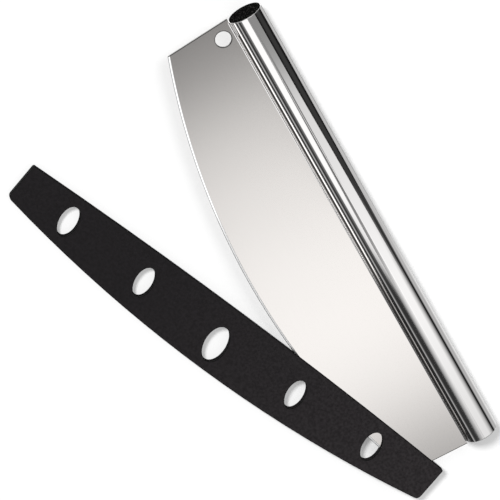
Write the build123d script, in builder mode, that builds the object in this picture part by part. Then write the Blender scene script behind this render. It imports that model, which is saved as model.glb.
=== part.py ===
from build123d import *
import os
from math import asin, cos, degrees, radians, sin

# Rocking pizza knife: a wide curved blade under a tubular handle, with a slip-on edge guard.
# It lies flat on a table with the guard swung partly off the blade. Lengths are millimetres.
# +X runs along the handle from the end with the hanging hole, the cutting edge faces -Y,
# +Z is up, and the origin is the middle of the hanging hole.

# Blade: a flat steel plate, square at the handle, curved and ground at the cutting edge
blade_length = 355.6
blade_thickness = 1.5
corner_drop = 57.7
edge_drop = 86.5
end_lean = 2.5
bevel_width = 1.5
bevel_depth = 0.6
hole_diameter = 11.0
hole_inset = 10.9
hole_drop = 20.5

# Handle: sheet rolled into a tube, its two lips closing on the blade
tube_diameter = 24.0
tube_sheet = 1.0
end_overhang = 2.5
lip_drop = 12.9
lip_root_round = 1.2
rim_round = 0.3

# End plugs: a low domed head on a hollow stem with sealing fins
plug_head_lap = 0.4
plug_head_height = 0.5
plug_dome = 0.3
plug_head_round = 0.3
plug_depth = 9.0
plug_stem_gap = 0.7
plug_wall = 1.6
plug_floor = 1.5
fin_count = 3
fin_land = 0.4
fin_foot = 1.4

# Guard: a flat moulded sheath, open along its top edge, with oval holes
guard_length = 367.3
guard_depth_end = 27.1
guard_depth_middle = 43.0
guard_top_bulge = 3.6
guard_wall = 1.4
guard_web = 1.6
guard_play = 0.3
seat_clearance = 0.5
bottom_corner_round = 3.8
top_corner_round = 1.2
guard_edge_round = 0.5
oval_spacing = 67.9
oval_row_shift = -5.0
oval_slant = 12.0
side_oval_height = 21.8
side_oval_width = 13.0
middle_oval_height = 26.4
middle_oval_width = 16.4
middle_oval_lowering = 4.0

# Pose: the guard is turned about a point in the blade near its far end
pivot_inset = 16.4
pivot_drop = 33.7
guard_open_angle = 21.3

cut_overrun = 5.0

# Places in the blade's own plane, measured from the hanging hole, x along and y across
tube_radius = tube_diameter / 2
bore_radius = tube_radius - tube_sheet
blade_start = -hole_inset
blade_end = blade_start + blade_length
blade_mid = (blade_start + blade_end) / 2
tube_start = blade_start + end_overhang
tube_end = blade_end - end_overhang
tube_length = tube_end - tube_start
axis_y = hole_drop
seat_y = axis_y - bore_radius
shoulder_y = axis_y - tube_radius
corner_y = axis_y - corner_drop
edge_y = axis_y - edge_drop
guard_slot = blade_thickness + 2 * guard_play
guard_thickness = guard_slot + 2 * guard_wall
guard_half = guard_length / 2

# Guard's own origin is the middle of the straight line between its top corners
pivot = Vector(tube_end - pivot_inset, axis_y - pivot_drop)
seated = Vector(blade_mid, edge_y - seat_clearance - guard_web + guard_depth_middle)
guard_origin = pivot + (seated - pivot).rotate(Axis.Z, guard_open_angle)

# The tube and the guard's far corner touch the table, which tilts the blade's plane a little
far_corner = Vector(bottom_corner_round - guard_half, bottom_corner_round - guard_depth_end)
far_corner_y = guard_origin.Y + far_corner.rotate(Axis.Z, guard_open_angle).Y - bottom_corner_round
lie_angle = degrees(asin((tube_radius - guard_thickness / 2) / (axis_y - far_corner_y)))

blade_normal = Vector(0, -sin(radians(lie_angle)), cos(radians(lie_angle)))
blade_plane = Plane(origin=(0, 0, 0), x_dir=(1, 0, 0), z_dir=blade_normal)
guard_plane = Plane(blade_plane.location * Location(guard_origin, (0, 0, guard_open_angle)))


def handle_section_plane(x, direction):
    """A plane across the handle at x, facing along X in the given direction, its y to the edge."""
    centre = blade_plane.from_local_coords(Vector(x, axis_y, 0))
    return Plane(origin=centre, x_dir=blade_normal * direction, z_dir=(direction, 0, 0))


# Blade plate, seated between the handle's lips
with BuildPart() as blade:
    left_corner = (blade_start + end_lean, corner_y)
    right_corner = (blade_end - end_lean, corner_y)
    with BuildSketch(blade_plane):
        with BuildLine():
            Polyline(
                left_corner,
                (blade_start, shoulder_y),
                (tube_start, shoulder_y),
                (tube_start, seat_y),
                (tube_end, seat_y),
                (tube_end, shoulder_y),
                (blade_end, shoulder_y),
                right_corner,
            )
            ThreePointArc(right_corner, (blade_mid, edge_y), left_corner)
        make_face()
    extrude(amount=blade_thickness / 2, both=True)
    # Both sides of the curved edge are ground back to a narrow cutting land
    for flat in blade.faces().filter_by(GeomType.PLANE).sort_by(SortBy.AREA)[-2:]:
        edge_line = flat.edges().filter_by(GeomType.CIRCLE)
        chamfer(edge_line, length=bevel_width, length2=bevel_depth, reference=flat)
    with Locations(blade_plane):
        Hole(radius=hole_diameter / 2)

# Handle tube with its slit and the two lips that close on the blade
with BuildPart() as handle_tube:
    with BuildSketch(handle_section_plane(tube_start, 1)) as section:
        Circle(tube_radius)
        Rectangle(blade_thickness + 2 * tube_sheet, lip_drop, align=(Align.CENTER, Align.MIN))
        # The rolled sheet turns into each lip on a small radius
        roots = section.vertices().filter_by_position(Axis.Y, bore_radius / 2, tube_radius)
        fillet(roots, radius=lip_root_round)
        Circle(bore_radius, mode=Mode.SUBTRACT)
        Rectangle(
            blade_thickness,
            lip_drop + cut_overrun,
            align=(Align.CENTER, Align.MIN),
            mode=Mode.SUBTRACT,
        )
    extrude(amount=tube_length)
    # The cut ends of the tube are broken on their outer edge
    outer_rims = handle_tube.edges().filter_by(GeomType.CIRCLE).filter_by(
        lambda edge: abs(edge.radius - tube_radius) < rim_round
    )
    fillet(outer_rims, radius=rim_round)

os.makedirs("parts", exist_ok=True)

# End plugs, one pressed into each end of the tube
head_radius = bore_radius + plug_head_lap
stem_radius = bore_radius - plug_stem_gap
cup_radius = stem_radius - plug_wall
fin_pitch = plug_depth / (fin_count + 1)
head_top = plug_head_height + plug_dome
for plug_name, mouth, direction in (
    ("hanging_end_plug", tube_start, -1),
    ("far_end_plug", tube_end, 1),
):
    across = handle_section_plane(mouth, direction)
    # Half section: x is the radius and y runs out of the tube along its axis
    half = Plane(origin=across.origin, x_dir=across.x_dir, z_dir=-across.y_dir)
    with BuildPart() as end_plug:
        with BuildSketch(half) as profile:
            with BuildLine():
                Polyline(
                    (0, head_top),
                    (0, -plug_floor),
                    (cup_radius, -plug_floor),
                    (cup_radius, -plug_depth),
                    (stem_radius, -plug_depth),
                    (stem_radius, 0),
                    (head_radius, 0),
                    (head_radius, plug_head_height),
                )
                TangentArc((0, head_top), (head_radius, plug_head_height), tangent=(1, 0))
            make_face()
            rim_corner = profile.vertices().group_by(Axis.X)[-1].sort_by(Axis.Y)[-1]
            fillet(rim_corner, radius=plug_head_round)
        revolve(axis=Axis(half.origin, half.y_dir))
        with BuildSketch(half):
            for fin in range(1, fin_count + 1):
                fin_y = -fin * fin_pitch
                with BuildLine():
                    Polyline(
                        (stem_radius - plug_wall / 2, fin_y - fin_foot / 2),
                        (stem_radius, fin_y - fin_foot / 2),
                        (bore_radius, fin_y - fin_land / 2),
                        (bore_radius, fin_y + fin_land / 2),
                        (stem_radius, fin_y + fin_foot / 2),
                        (stem_radius - plug_wall / 2, fin_y + fin_foot / 2),
                        close=True,
                    )
                make_face()
        revolve(axis=Axis(half.origin, half.y_dir))
    end_plug.part.label = plug_name
    export_step(end_plug.part, f"parts/{plug_name}.step")


def guard_middle_line(x):
    """Half way between the guard's bowed top and bottom edges at x, across its own plane."""
    fade = (x / guard_half) ** 2
    top = guard_top_bulge * (1 - fade)
    bottom = guard_depth_middle - (guard_depth_middle - guard_depth_end) * fade
    return (top - bottom) / 2


# Guard: one moulded sheath
with BuildPart() as blade_guard:
    with BuildSketch(guard_plane) as outline:
        with BuildLine():
            ThreePointArc((-guard_half, 0), (0, guard_top_bulge), (guard_half, 0))
            Line((guard_half, 0), (guard_half, -guard_depth_end))
            ThreePointArc(
                (guard_half, -guard_depth_end),
                (0, -guard_depth_middle),
                (-guard_half, -guard_depth_end),
            )
            Line((-guard_half, -guard_depth_end), (-guard_half, 0))
        make_face()
        fillet(outline.vertices().group_by(Axis.Y)[0], radius=bottom_corner_round)
        fillet(outline.vertices().group_by(Axis.Y)[-1], radius=top_corner_round)
    extrude(amount=guard_thickness / 2, both=True)
    with BuildSketch(guard_plane) as pocket:
        inner_half = guard_half - guard_web
        inner_end = guard_web - guard_depth_end
        with BuildLine():
            Polyline(
                (-inner_half, inner_end),
                (-inner_half, guard_top_bulge + cut_overrun),
                (inner_half, guard_top_bulge + cut_overrun),
                (inner_half, inner_end),
            )
            ThreePointArc(
                (inner_half, inner_end), (0, guard_web - guard_depth_middle), (-inner_half, inner_end)
            )
        make_face()
        fillet(pocket.vertices().group_by(Axis.Y)[0], radius=bottom_corner_round - guard_web)
    extrude(amount=guard_slot / 2, both=True, mode=Mode.SUBTRACT)
    with BuildSketch(guard_plane):
        for step in (-2, -1, 0, 1, 2):
            oval_x = oval_row_shift + step * oval_spacing
            oval_y = guard_middle_line(oval_x)
            if step == 0:
                with Locations((oval_x, oval_y - middle_oval_lowering)):
                    Ellipse(middle_oval_width / 2, middle_oval_height / 2, rotation=oval_slant)
            else:
                with Locations((oval_x, oval_y)):
                    Ellipse(side_oval_width / 2, side_oval_height / 2, rotation=oval_slant)
    extrude(amount=guard_thickness, both=True, mode=Mode.SUBTRACT)
    # The mould leaves no sharp outer edge, on the outline or round the holes
    across_blade = Axis(blade_plane.origin, blade_normal)
    flats = blade_guard.faces().filter_by(across_blade).sort_by(across_blade)
    for skin in (flats[0], flats[-1]):
        fillet(skin.edges(), radius=guard_edge_round)

blade.part.label = "blade"
export_step(blade.part, "parts/blade.step")

handle_tube.part.label = "handle_tube"
export_step(handle_tube.part, "parts/handle_tube.step")

blade_guard.part.label = "blade_guard"
export_step(blade_guard.part, "parts/blade_guard.step")

# Values that the record states
hinge_point = blade_plane.from_local_coords(pivot)
print("lie angle", lie_angle)
print("blade normal", blade_normal.X, blade_normal.Y, blade_normal.Z)
print("guard pivot", hinge_point.X, hinge_point.Y, hinge_point.Z)
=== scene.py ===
import math

import bpy
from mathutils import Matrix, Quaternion, Vector


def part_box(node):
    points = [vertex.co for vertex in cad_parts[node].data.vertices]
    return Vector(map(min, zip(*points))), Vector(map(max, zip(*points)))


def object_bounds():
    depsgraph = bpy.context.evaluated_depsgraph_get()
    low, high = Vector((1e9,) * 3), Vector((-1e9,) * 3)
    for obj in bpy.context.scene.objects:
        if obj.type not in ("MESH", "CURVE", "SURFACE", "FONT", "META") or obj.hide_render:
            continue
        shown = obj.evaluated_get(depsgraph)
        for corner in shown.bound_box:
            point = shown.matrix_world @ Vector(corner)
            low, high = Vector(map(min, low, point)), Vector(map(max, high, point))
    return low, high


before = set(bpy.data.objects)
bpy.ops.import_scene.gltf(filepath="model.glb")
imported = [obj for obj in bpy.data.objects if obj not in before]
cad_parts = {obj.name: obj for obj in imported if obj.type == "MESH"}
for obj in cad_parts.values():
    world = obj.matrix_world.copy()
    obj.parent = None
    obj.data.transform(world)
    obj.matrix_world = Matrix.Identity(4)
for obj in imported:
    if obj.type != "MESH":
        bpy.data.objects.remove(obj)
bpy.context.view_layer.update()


# Blade: one flat plate of stainless steel, cut to a wide curve and ground on both sides of its
# edge. Both faces carry a fine lengthwise polish that still mirrors the room softly.
class Shade:
    """One socket of a node tree. Arithmetic on it adds Math nodes, and node() adds any other."""

    def __init__(self, tree, socket=None):
        self.tree = tree
        self.socket = socket

    def node(self, kind, settings=None, sockets=None, out=0):
        """Adds a node: its settings first, then the values or links of its sockets."""
        made = self.tree.nodes.new(kind)
        for name, value in (settings or {}).items():
            if name == "stops":
                band = made.color_ramp
                while len(band.elements) < len(value):
                    band.elements.new(1.0)
                for stop, (place, colour) in zip(band.elements, value):
                    stop.position = place
                    stop.color = colour if hasattr(colour, "__len__") else (colour,) * 3 + (1.0,)
            elif name == "easing":
                made.color_ramp.interpolation = value
            else:
                setattr(made, name, value)
        for name, value in (sockets or {}).items():
            if isinstance(value, Shade):
                self.tree.links.new(value.socket, made.inputs[name])
            else:
                made.inputs[name].default_value = value
        return Shade(self.tree, made.outputs[out] if len(made.outputs) else None)

    def maths(self, operation, first, second=0.0):
        return self.node("ShaderNodeMath", {"operation": operation}, {0: first, 1: second})

    def __add__(self, other):
        return self.maths("ADD", self, other)

    def __sub__(self, other):
        return self.maths("SUBTRACT", self, other)

    def __rsub__(self, other):
        return self.maths("SUBTRACT", other, self)

    def __mul__(self, other):
        return self.maths("MULTIPLY", self, other)

    def __truediv__(self, other):
        return self.maths("DIVIDE", self, other)

    def __pow__(self, other):
        return self.maths("POWER", self, other)

    __radd__ = __add__
    __rmul__ = __mul__


def new_finish(name):
    """A material with an empty node tree, and the start of its nodes."""
    made = bpy.data.materials.new(name)
    made.use_nodes = True
    made.node_tree.nodes.clear()
    return made, Shade(made.node_tree)


def spots(where, scale, detail, roughness=0.5):
    """Cloudy spots, so many to the metre, with finer ones inside them."""
    sockets = {"Vector": where, "Scale": scale, "Detail": detail, "Roughness": roughness}
    return where.node("ShaderNodeTexNoise", {}, sockets)


def relief(height, strength, depth):
    """A relief that tilts the surface's shine, with its depth in metres."""
    sockets = {"Height": height, "Strength": strength, "Distance": depth}
    return height.node("ShaderNodeBump", {}, sockets)


def polish_lines(place, spread, detail, roughness=0.5):
    """The lines that a polishing belt leaves, drawn out along X, and their relief."""
    along = place.node("ShaderNodeMapping", {}, {"Vector": place, "Scale": spread})
    lines = spots(along, scale=1.0, detail=detail, roughness=roughness)
    return lines, relief(lines, strength=0.01, depth=0.0001)


def tinted(share, first, second):
    """A colour between two others, the second one where the share is 1."""
    colours = {0: share, 6: first, 7: second}
    return share.node("ShaderNodeMix", {"data_type": "RGBA"}, colours, out=2)


blade_satin, start = new_finish("blade_satin")
place = start.node("ShaderNodeTexCoord", out="Object")
fine_lines, line_relief = polish_lines(
    place, spread=(18.0, 2600.0, 60.0), detail=3.0, roughness=0.6
)
broad_clouds = spots(place, scale=22.0, detail=2.0)
face_tint = tinted(fine_lines, (0.68, 0.655, 0.635, 1), (0.72, 0.695, 0.675, 1))


def one_axis(vector, axis):
    """The X, Y or Z of a place or a direction."""
    return vector.node("ShaderNodeSeparateXYZ", {}, {"Vector": vector}, out=axis)


def fade(value, none_at, all_at):
    """0 where a value is at its first limit, 1 where it is at its second, even in between."""
    sockets = {"Value": value, "From Min": none_at, "From Max": all_at}
    return value.node("ShaderNodeMapRange", {}, sockets)


def ramp(over, stops, easing="LINEAR"):
    """A colour or brightness that changes at stops along a value."""
    return over.node("ShaderNodeValToRGB", {"easing": easing, "stops": stops}, {0: over})


# The knife lies on its tube, so the blade's flat faces are tilted a little towards the edge
flat_face = (0.0, -0.0493931, 0.9987794)


def flatness(start):
    """1 where a surface faces square to the blade's plane, less where it leans away."""
    facing = start.node("ShaderNodeTexCoord", out="Normal")
    squareness = start.node(
        "ShaderNodeVectorMath",
        {"operation": "DOT_PRODUCT"},
        {0: facing, 1: flat_face},
        out="Value",
    )
    return start.maths("ABSOLUTE", squareness)


# The two bevels at the curved edge lean away from the flat faces. They are ground, and their
# colour is painted light: a dark outline of painted shade at the cutting edge, a bright painted
# highlight line, and a dull line of painted shade where they meet the faces. The edge is an arc,
# so the way in from it is measured from the arc's centre.
blade_low, blade_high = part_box("blade")
place_x = one_axis(place, "X")
place_y = one_axis(place, "Y")
curve_half_width, curve_rise, curve_low = 0.1753, 0.0288, -0.066
curve_radius = (curve_half_width**2 + curve_rise**2) / (2 * curve_rise)
curve_x = (blade_low.x + blade_high.x) / 2
across = place_y / flat_face[2] - (curve_low + curve_radius)
from_edge = curve_radius - ((place_x - curve_x) ** 2.0 + across * across) ** 0.5
bevel_reach = 0.0016
# Painted light across the bevel: painted shade at the cutting edge, a painted highlight, then
# painted shade at the inner line
bevel_painted_light_stops = [(0.12, 0.08), (0.26, 0.97), (0.72, 0.97), (0.84, 0.42)]
bevel_painted_light = ramp(from_edge / bevel_reach, bevel_painted_light_stops)
ground = fade(flatness(start), none_at=0.99, all_at=0.96)
steel_with_painted_bevel = tinted(ground, face_tint, bevel_painted_light)
# Towards the far end the grinding is a little coarser
coarser = fade(place_x, none_at=0.1, all_at=0.14)
grinding = ground * (0.06 + 0.3 * coarser)

# The sheared ends lean in by 2.5 mm from the shoulder to the corners. Along them and round the
# punched hole runs a dark line of painted shade.
shoulder_y = 0.0085
end_lean = 2.5 / 45.7
hole_radius = 0.0055
past_shoulder = start.maths("MAXIMUM", shoulder_y - place_y, 0.0) * end_lean
from_left = place_x - blade_low.x - past_shoulder
from_right = blade_high.x - place_x - past_shoulder
from_hole = (place_x * place_x + place_y * place_y) ** 0.5 - hole_radius
from_cut = start.maths("MINIMUM", start.maths("MINIMUM", from_left, from_right), from_hole)
# Painted shade: a dark line within about half a millimetre of the cut ends and the hole
painted_edge_shade = fade(from_cut, none_at=0.0006, all_at=0.0003)
edge_shade_dark = (0.06, 0.058, 0.056, 1)


def surface(start, sockets):
    """Ends a finish in its shader, with the values or links of the shader's sockets."""
    shader = start.node("ShaderNodeBsdfPrincipled", {}, sockets)
    start.node("ShaderNodeOutputMaterial", {}, {"Surface": shader})


def cover(piece, finish):
    """Puts a finish on every material slot of a CAD piece."""
    for slot in piece.material_slots:
        slot.material = finish


surface(
    start,
    {
        # The base colour carries painted light: the bevels' painted highlight and shade, and the
        # painted shade along the cut edges
        "Base Color": tinted(painted_edge_shade, steel_with_painted_bevel, edge_shade_dark),
        "Metallic": 1.0,
        "Roughness": 0.035 + 0.02 * fine_lines + 0.015 * broad_clouds + grinding,
        "Normal": line_relief,
    },
)
cover(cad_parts["blade"], blade_satin)


# Handle tube: stainless sheet rolled into a tube, its two lips pinched on the blade's back and
# welded there. It is polished brighter than the blade.
tube_polish, start = new_finish("tube_polish")
place = start.node("ShaderNodeTexCoord", out="Object")
fine_lines, line_relief = polish_lines(place, spread=(10.0, 1500.0, 1500.0), detail=2.0)
surface(
    start,
    {
        "Base Color": (0.76, 0.75, 0.745, 1),
        "Metallic": 1.0,
        "Roughness": 0.03 + 0.02 * fine_lines,
        "Normal": line_relief,
    },
)
cover(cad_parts["handle_tube"], tube_polish)


# End plugs: low domed caps moulded in black plastic, one pressed into each end of the tube. Their
# heads just lap its cut rim, and fine grey specks show in the black.
plug_black, start = new_finish("plug_black")
place = start.node("ShaderNodeTexCoord", out="Object")
specks = spots(place, scale=900.0, detail=2.0)
deep_black = (0.002, 0.002, 0.002, 1)
speck_grey = (0.04, 0.038, 0.036, 1)
surface(
    start,
    {
        "Base Color": ramp(specks, [(0.55, deep_black), (0.75, speck_grey)]),
        "Roughness": 0.5 + 0.1 * specks,
        "Specular IOR Level": 0.0,
        "Normal": relief(specks, strength=0.15, depth=0.0001),
    },
)
for plug in ("hanging_end_plug", "far_end_plug"):
    cover(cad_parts[plug], plug_black)


# Guard: a flat sheath moulded in one piece of black plastic, open along its top edge for the
# blade. The mould gives its sides a fine pebbled grain.
guard_black, start = new_finish("guard_black")
place = start.node("ShaderNodeTexCoord", out="Object")
pebbles = start.node(
    "ShaderNodeTexVoronoi", {"feature": "SMOOTH_F1"}, {"Vector": place, "Scale": 900.0}
)
dust = spots(place, scale=520.0, detail=3.0)
mottle = fade(dust, none_at=0.34, all_at=0.66)
free_end_tint = tinted(mottle, (0.0036, 0.003, 0.0034, 1), (0.0068, 0.0059, 0.0066, 1))
blade_end_tint = tinted(mottle, (0.0062, 0.0051, 0.0056, 1), (0.0152, 0.0134, 0.0142, 1))
# Greyer towards the end that stays on the blade, darker towards the free end
greyer = fade(one_axis(place, "X"), none_at=0.12, all_at=0.34)
side_tint = tinted(greyer, free_end_tint, blade_end_tint)
# Its rounded edges and the walls of its holes get painted shade: darker than the grained sides
# where they lean away from the blade's plane
painted_shade_edges = fade(flatness(start), none_at=0.98, all_at=0.8)
edge_shade_tint = (0.0004, 0.0004, 0.0004, 1)
surface(
    start,
    {
        "Base Color": tinted(painted_shade_edges, side_tint, edge_shade_tint),
        "Roughness": 0.55 + 0.15 * dust + 0.2 * painted_shade_edges,
        "Specular IOR Level": 0.17,
        "Normal": relief(pebbles + 0.5 * dust, strength=0.5, depth=0.0003),
    },
)
cover(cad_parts["blade_guard"], guard_black)


# Table: a plain white sheet under the knife, larger than any view of it. It glows faintly, so
# that it stays near white, and the polished metal doesn't mirror it.
table_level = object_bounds()[0].z
table_reach = 4.0
table_corners = [(-1, -1), (1, -1), (1, 1), (-1, 1)]
table_mesh = bpy.data.meshes.new("table")
table_mesh.from_pydata(
    [(x * table_reach, y * table_reach, table_level) for x, y in table_corners],
    [],
    [(0, 1, 2, 3)],
)
table = bpy.data.objects.new("table", table_mesh)
bpy.context.scene.collection.objects.link(table)
table.visible_glossy = False
table_white, start = new_finish("table_white")
surface(
    start,
    {
        "Base Color": (0.5, 0.5, 0.5, 1),
        "Roughness": 1.0,
        "Specular IOR Level": 0.0,
        "Emission Color": (1, 1, 1, 1),
        "Emission Strength": 0.22,
    },
)
table_mesh.materials.append(table_white)


# Studio light: a white dome for the table, and for polished metal a room of long soft boxes and
# dark gaps that all run along the handle. Angles go round the handle, from +Y over the top.
room = bpy.data.worlds.new("studio")
room.use_nodes = True
room.node_tree.nodes.clear()
room.cycles.sampling_method = "NONE"
bpy.context.scene.world = room
start = Shade(room.node_tree)
toward = start.node("ShaderNodeTexCoord", out="Generated")
toward_x = one_axis(toward, "X")
toward_y = one_axis(toward, "Y")
toward_z = one_axis(toward, "Z")
never_zero = 1e-6
round_angle = start.maths("ARCTAN2", toward_z, toward_y) * (0.5 / math.pi) + 0.5
slope = toward_x / (toward_y * toward_y + toward_z * toward_z + never_zero) ** 0.5
eye_place = Vector((-0.8150437, -0.1070586, 2.2767548))


def turn(degrees):
    """An angle round the handle as a share of the full turn."""
    return (degrees + 180.0) / 360.0


def round_handle(levels):
    """Brightness round the handle, from pairs of an angle in degrees and a level."""
    return ramp(round_angle, [(turn(degrees), level) for degrees, level in levels])


def along_handle(levels, easing="LINEAR"):
    """A value for rays by the place along the handle where the photograph's camera sees them
    mirrored, from pairs of that place and the value there."""
    stops = [((x - eye_place.x) / eye_place.z, level) for x, level in levels]
    return ramp(slope, stops, easing)


def slanting_edge(points):
    """A soft box's edge, from pairs of a place along the handle and an angle in degrees."""
    return along_handle([(x, turn(degrees)) for x, degrees in points])


def beyond(edge, softness):
    """0 before an angle and 1 after it, with a soft step of some degrees."""
    half_step = softness / 720.0
    return fade(round_angle, edge - half_step, edge + half_step)


def soft_box(low, high, low_softness=0.7, high_softness=0.7):
    """1 between two angles and 0 outside them, each edge with its own softness in degrees."""
    return beyond(low, low_softness) * (1.0 - beyond(high, high_softness))


# The graded box over the knife is dim at the hanging hole's end and brightest past the middle
full_bright = 1.4
handle_grade = full_bright * along_handle(
    [
        (-0.30, 0.65),
        (-0.02, 0.27),
        (0.03, 0.32),
        (0.06, 0.62),
        (0.10, 0.70),
        (0.20, 0.86),
        (0.26, 0.84),
        (0.35, 0.70),
    ],
    easing="CARDINAL",
)
blade_grade = full_bright * along_handle(
    [
        (-0.30, 0.6),
        (-0.06, 0.22),
        (-0.01, 0.25),
        (0.025, 0.41),
        (0.055, 0.61),
        (0.09, 0.75),
        (0.14, 0.88),
        (0.20, 0.96),
        (0.25, 0.94),
        (0.285, 0.82),
        (0.315, 0.61),
        (0.345, 0.42),
        (0.40, 0.36),
        (0.60, 0.57),
    ],
    easing="CARDINAL",
)

# Near the hanging hole the boxes have hard edges, some of them slanting. From low to high they
# are a dim box, the graded box, a grey gap and a white box.
dim_level = 0.65
dim_start = turn(-70.0)
dim_edge = slanting_edge([(0.03, -25.0), (0.18, -7.5)])
low_edge = slanting_edge([(0.06, 41.0), (0.10, 35.5), (0.18, 29.0)])
white_edge = slanting_edge([(0.03, 97.5), (0.06, 101.0), (0.10, 105.0), (0.18, 115.0)])
gap_width = 17.0 / 360.0
gap_edge = white_edge - gap_width
gap_level = along_handle([(0.03, 0.33), (0.06, 0.2)])
# The white box reaches lower before the hanging hole's end, where only the bevel mirrors it
white_level = 1.32
white_foot = ramp(slope, [(0.335, turn(150.0)), (0.352, turn(136.8))])
near_room = (
    dim_level * soft_box(dim_start, dim_edge, low_softness=40.0)
    + handle_grade * soft_box(low_edge, gap_edge)
    + gap_level * soft_box(gap_edge, white_edge)
    + white_level * soft_box(white_edge, white_foot, high_softness=6.0)
    + round_handle(
        [
            (-180, 0.05),
            (-177.5, 0.1),
            (-175.5, 0.8),
            (-165, 0.8),
            (-90, 0.4),
            (-70, 0.0),
            (-24, 0.01),
            (-6, 0.015),
            (2, 0.05),
            (24, 0.05),
            (39, 0.0),
            (139, 0.0),
            (141, 0.22),
            (146, 0.17),
            (150, 0.05),
            (157, 0.04),
            (162.5, 0.2),
            (165.3, 0.65),
            (169, 0.65),
            (171.5, 0.04),
            (178, 0.03),
        ]
    )
)

# Past the middle the boxes fade into each other
far_grade = handle_grade * soft_box(
    turn(38.0), turn(112.0), low_softness=24.0, high_softness=34.0
)
far_room = far_grade + round_handle(
    [
        (-180, 0.02),
        (-166, 0.03),
        (-100, 0.8),
        (-52, 0.95),
        (-36, 0.64),
        (-23, 0.5),
        (-13, 0.63),
        (-6, 0.55),
        (2, 0.05),
        (8, 0.0),
        (13, 0.02),
        (20, 0.27),
        (27, 0.5),
        (40, 0.2),
        (50, 0.0),
        (100, 0.0),
        (120, 0.12),
        (134, 0.04),
        (154, 0.04),
        (161, 0.2),
        (164, 0.52),
        (168, 0.52),
        (170, 0.08),
        (176, 0.02),
    ]
)
past_middle = along_handle(
    [(0.13, 0.0), (0.16, 0.18), (0.18, 0.28), (0.215, 1.0), (0.36, 1.0), (0.38, 0.0)]
)
both_rooms = near_room + past_middle * (far_room - near_room)
# The flat blade mirrors only a narrow strip overhead, which has a grade of its own
over_blade = soft_box(turn(92.2), turn(95.3))
steel_room = both_rooms + over_blade * (blade_grade - both_rooms)

# Low over the blade stands a bright box that the handle mirrors only by way of the blade, or the
# blade by way of the handle. Past the middle it is no more than a thin line. A ray that reaches
# the room has a depth of 2 after one mirror and of 3 after two.
past_one_mirror = 2.5
ray_depth = start.node("ShaderNodeLightPath", out="Ray Depth")
twice_mirrored = start.maths("GREATER_THAN", ray_depth, past_one_mirror)
thinner = along_handle([(0.19, 0.0), (0.205, 1.0)])
seam_box = soft_box(turn(166.5), turn(179.0), low_softness=1.5, high_softness=1.0)
seam_line = soft_box(turn(163.5), turn(168.5), low_softness=1.5, high_softness=1.5)
in_seam_box = twice_mirrored * seam_box * (1.0 - thinner)
in_seam_line = twice_mirrored * seam_line * thinner
seam_box_level = 2.2
seam_line_level = 0.4
photo_room = (
    steel_room + in_seam_box * (seam_box_level - steel_room) + seam_line_level * in_seam_line
)

# Rays that leave more to either end meet a plainer room: pale table, dark horizon, bright lamps
plain_room = round_handle(
    [
        (-180, 0.04),
        (-164, 0.05),
        (-159, 0.4),
        (-120, 0.55),
        (-60, 0.6),
        (-24, 0.45),
        (-18, 0.05),
        (5, 0.04),
        (10, 0.34),
        (30, 0.5),
        (52, 0.62),
        (60, 1.2),
        (70, 1.2),
        (76, 0.8),
        (110, 0.8),
        (118, 1.1),
        (126, 1.1),
        (134, 0.6),
        (150, 0.5),
        (170, 0.34),
        (175, 0.04),
    ]
)
in_view = ramp(slope, [(0.0, 0.0), (0.15, 1.0), (0.6, 1.0), (0.85, 0.0)])
whole_room = plain_room + in_view * (photo_room - plain_room)
# A low white card beyond the hanging hole lights the cut end of the tube
card_level = 1.8
past_end = fade(slope, none_at=-0.2, all_at=-0.3)
low_card = past_end * soft_box(
    turn(-125.0), turn(-60.0), low_softness=20.0, high_softness=20.0
)
mirror_room = whole_room + low_card * (card_level - whole_room)

dome_level = 0.45
mirrored_ray = start.node("ShaderNodeLightPath", out="Is Glossy Ray")
brightness = dome_level + mirrored_ray * (mirror_room - dome_level)
glow = start.node("ShaderNodeBackground", {}, {"Color": (1, 1, 1, 1), "Strength": brightness})
start.node("ShaderNodeOutputWorld", {}, {"Surface": glow})

# One lamp from the guard's free end throws the shadows on the table, and a wide one from behind
# the handle a faint shade along the curved edge
for lamp_name, spread, strength, from_side, no_shadow in (
    ("key_lamp", 12, 3.7, (-0.84, -0.16, 1.0), "blade"),
    ("fill_lamp", 45, 1.5, (-0.4, 1.1, 1.0), "blade_guard"),
):
    lamp_light = bpy.data.lights.new(lamp_name, "SUN")
    lamp_light.angle = math.radians(spread)
    lamp_light.energy = strength
    lamp = bpy.data.objects.new(lamp_name, lamp_light)
    lamp.rotation_mode = "QUATERNION"
    lamp.rotation_quaternion = Vector(from_side).to_track_quat("Z", "Y")
    lamp.visible_glossy = False
    bpy.context.scene.collection.objects.link(lamp)
    # In each lamp's light one piece throws no shadow, so that the table stays bright in the holes
    let_through = bpy.data.collections.new(lamp_name + "_let_through")
    let_through.objects.link(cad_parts[no_shadow])
    let_through.collection_objects[0].light_linking.link_state = "EXCLUDE"
    lamp.light_linking.blocker_collection = let_through


# Camera: a long lens above the hanging hole's end, where the photograph was taken from. It looks
# down on the knife with the handle leaning from the top of the picture to its lower right.
eye_data = bpy.data.cameras.new("eye")
eye_data.sensor_width = 36.0
eye_data.lens = 266.4
eye_data.clip_end = 20.0
eye = bpy.data.objects.new("eye", eye_data)
eye.location = eye_place
eye.rotation_mode = "QUATERNION"
eye.rotation_quaternion = Quaternion((0.8509552, -0.0882958, -0.1763501, 0.4868057))
bpy.context.scene.collection.objects.link(eye)
bpy.context.scene.camera = eye
bpy.context.scene.view_settings.view_transform = "Standard"
